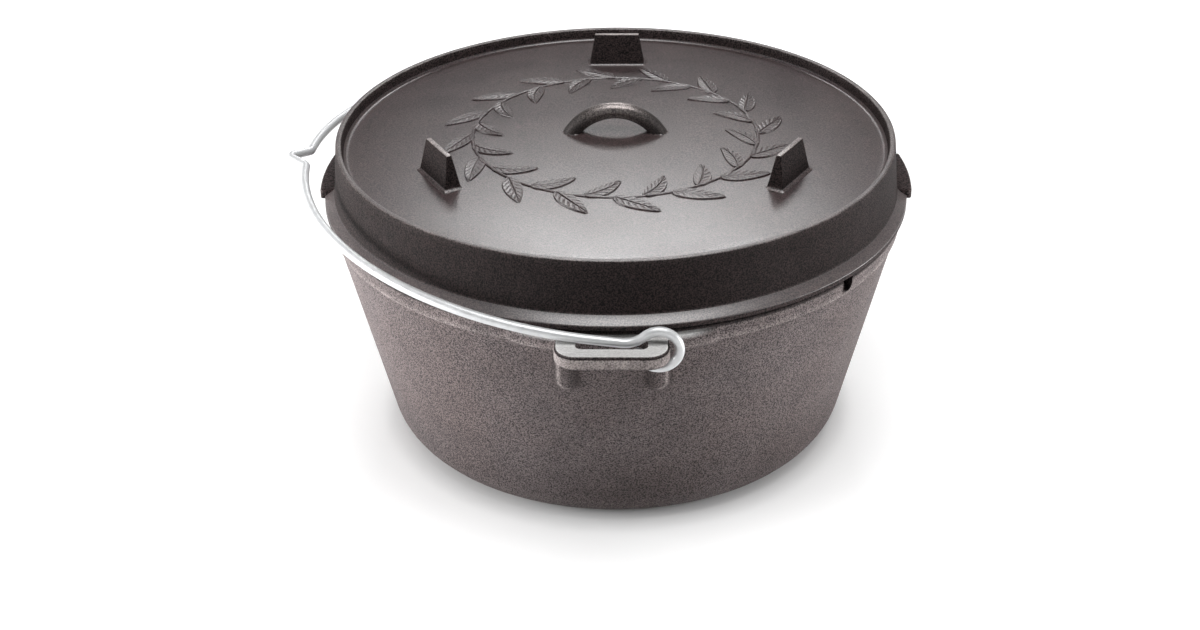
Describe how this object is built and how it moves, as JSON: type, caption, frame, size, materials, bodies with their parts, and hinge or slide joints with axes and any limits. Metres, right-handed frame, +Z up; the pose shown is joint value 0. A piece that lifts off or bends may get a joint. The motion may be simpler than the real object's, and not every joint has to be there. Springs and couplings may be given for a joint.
{
  "type": "camp dutch oven",
  "caption": "Flat-based cast-iron camp dutch oven with tapered wall, lift-off lid with raised coal rim, feet and loop handle, and a swinging wire bail hooked through its side ears.",
  "frame": {"origin": "middle of the flat base, on the ground", "axes": "+Z up along the pot's axis, the ears on the Y axis, the bail lying towards -X, -Y is the side seen in the picture"},
  "size_m": [0.441, 0.4566, 0.2394],
  "materials": {
    "pot_iron": "seasoned sand casting, fine grain",
    "lid_iron": "seasoned sand casting, fine grain",
    "loop_iron": "smooth seasoned bar",
    "zinc_wire": "bright zinc-plated wire"
  },
  "bodies": {
    "pot": {"pot": "pot_iron"},
    "lid": {"lid": "lid_iron", "lid_handle": "loop_iron"},
    "bail": {"bail": "zinc_wire"}
  },
  "joints": [
    {"name": "lid_lift", "type": "slide", "parent": "pot", "child": "lid", "axis": [0, 0, 1], "range_m": [0, 0.3]},
    {"name": "bail_swing", "type": "hinge", "parent": "pot", "child": "bail", "pos_m": [0.02925, 0, 0.16525], "axis": [0, 1, 0], "range_deg": [0, 205]}
  ]
}
